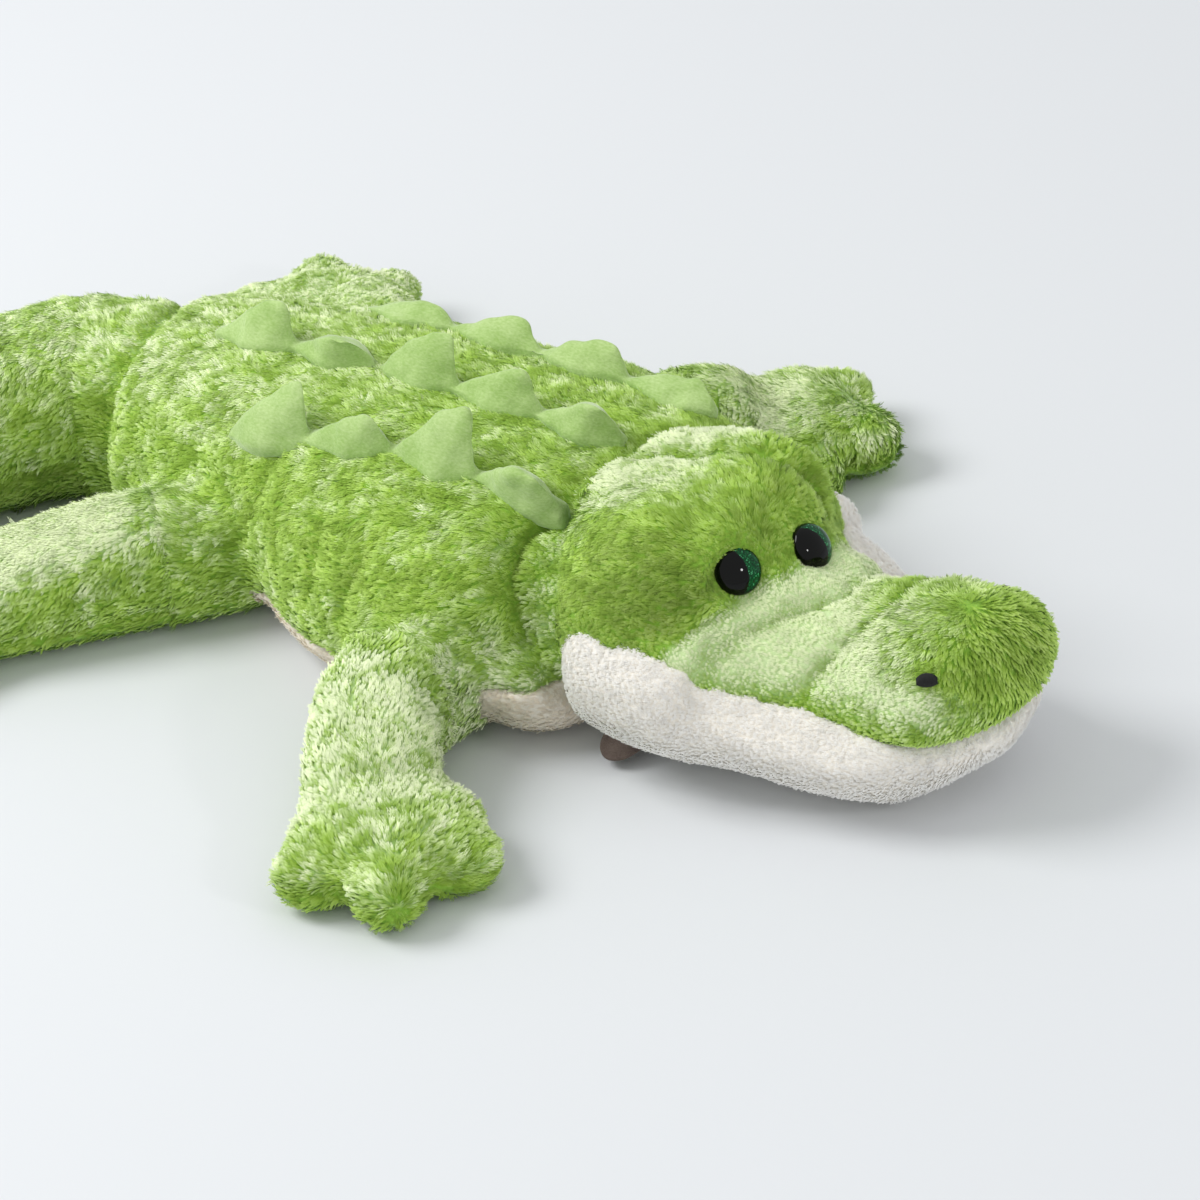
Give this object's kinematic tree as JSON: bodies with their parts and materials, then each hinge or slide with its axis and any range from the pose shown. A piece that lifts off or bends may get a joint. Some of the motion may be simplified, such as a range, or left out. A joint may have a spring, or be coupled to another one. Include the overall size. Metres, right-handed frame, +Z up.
{
  "type": "plush crocodile",
  "caption": "Plush crocodile lying on its belly, with rows of soft back scutes, splayed paws, a long snout over a pale lower jaw, and a head, legs and tail that flex at their seams.",
  "frame": {"origin": "point on the floor under the middle of the belly", "axes": "+X along the back from the tail to the head, +Y to the toy's left, +Z up"},
  "size_m": [0.7573, 0.468, 0.1325],
  "materials": {
    "green_plush": "mottled lime green faux fur with pale tips, about 8 mm long",
    "darker_plush": "short green plush",
    "cream_plush": "short cream plush with a fine nap",
    "scute_cloth": "smooth short green velour",
    "fibre": "loose white polyester fibre",
    "black_thread": "satin stitched black thread",
    "brown_felt": "plain brown-grey felt",
    "eye_lens": "polished clear plastic dome",
    "eye_paint": "black pupil beside a glittering emerald iris",
    "washer_plastic": "moulded plastic locking washer"
  },
  "bodies": {
    "torso": {"torso_skin": "green_plush", "belly_panel": "cream_plush", "torso_filling": "fibre", "scute_strip_centre": "scute_cloth", "scute_strip_right": "scute_cloth", "scute_strip_left": "scute_cloth"},
    "head": {"head_crown": "green_plush", "snout": "green_plush", "head_filling": "fibre", "lower_jaw": "cream_plush", "jaw_filling": "fibre", "eye_backing_right": "eye_paint", "eye_backing_left": "eye_paint", "eye_lens_right": "eye_lens", "eye_lens_left": "eye_lens", "eye_washer_right": "washer_plastic", "eye_washer_left": "washer_plastic", "nostril_right": "black_thread", "nostril_left": "black_thread", "tag": "brown_felt"},
    "tail": {"tail_top": "green_plush", "tail_underside": "darker_plush", "tail_filling": "fibre"},
    "leg_front_right": {"leg_top_front_right": "green_plush", "leg_sole_front_right": "darker_plush", "leg_filling_front_right": "fibre"},
    "leg_front_left": {"leg_top_front_left": "green_plush", "leg_sole_front_left": "darker_plush", "leg_filling_front_left": "fibre"},
    "leg_rear_right": {"leg_top_rear_right": "green_plush", "leg_sole_rear_right": "darker_plush", "leg_filling_rear_right": "fibre"},
    "leg_rear_left": {"leg_top_rear_left": "green_plush", "leg_sole_rear_left": "darker_plush", "leg_filling_rear_left": "fibre"}
  },
  "joints": [
    {"name": "neck_turn", "type": "hinge", "parent": "torso", "child": "head", "pos_m": [0.125, -0.01, 0], "axis": [0, 0, 1], "range_deg": [-10, 18], "stiffness_Nm_per_rad": 0.6},
    {"name": "tail_swing", "type": "hinge", "parent": "torso", "child": "tail", "pos_m": [-0.146, 0, 0], "axis": [0, 0, 1], "range_deg": [-18, 8], "stiffness_Nm_per_rad": 0.4},
    {"name": "shoulder_right", "type": "hinge", "parent": "torso", "child": "leg_front_right", "pos_m": [0.084, -0.104, 0], "axis": [0, 0, 1], "range_deg": [-18, 18], "stiffness_Nm_per_rad": 0.25},
    {"name": "shoulder_left", "type": "hinge", "parent": "torso", "child": "leg_front_left", "pos_m": [0.076, 0.076, 0], "axis": [0, 0, 1], "range_deg": [-18, 18], "stiffness_Nm_per_rad": 0.25},
    {"name": "hip_right", "type": "hinge", "parent": "torso", "child": "leg_rear_right", "pos_m": [-0.066, -0.066, 0], "axis": [0, 0, 1], "range_deg": [-8, 18], "stiffness_Nm_per_rad": 0.25},
    {"name": "hip_left", "type": "hinge", "parent": "torso", "child": "leg_rear_left", "pos_m": [-0.076, 0.062, 0], "axis": [0, 0, 1], "range_deg": [-18, 18], "stiffness_Nm_per_rad": 0.25}
  ]
}
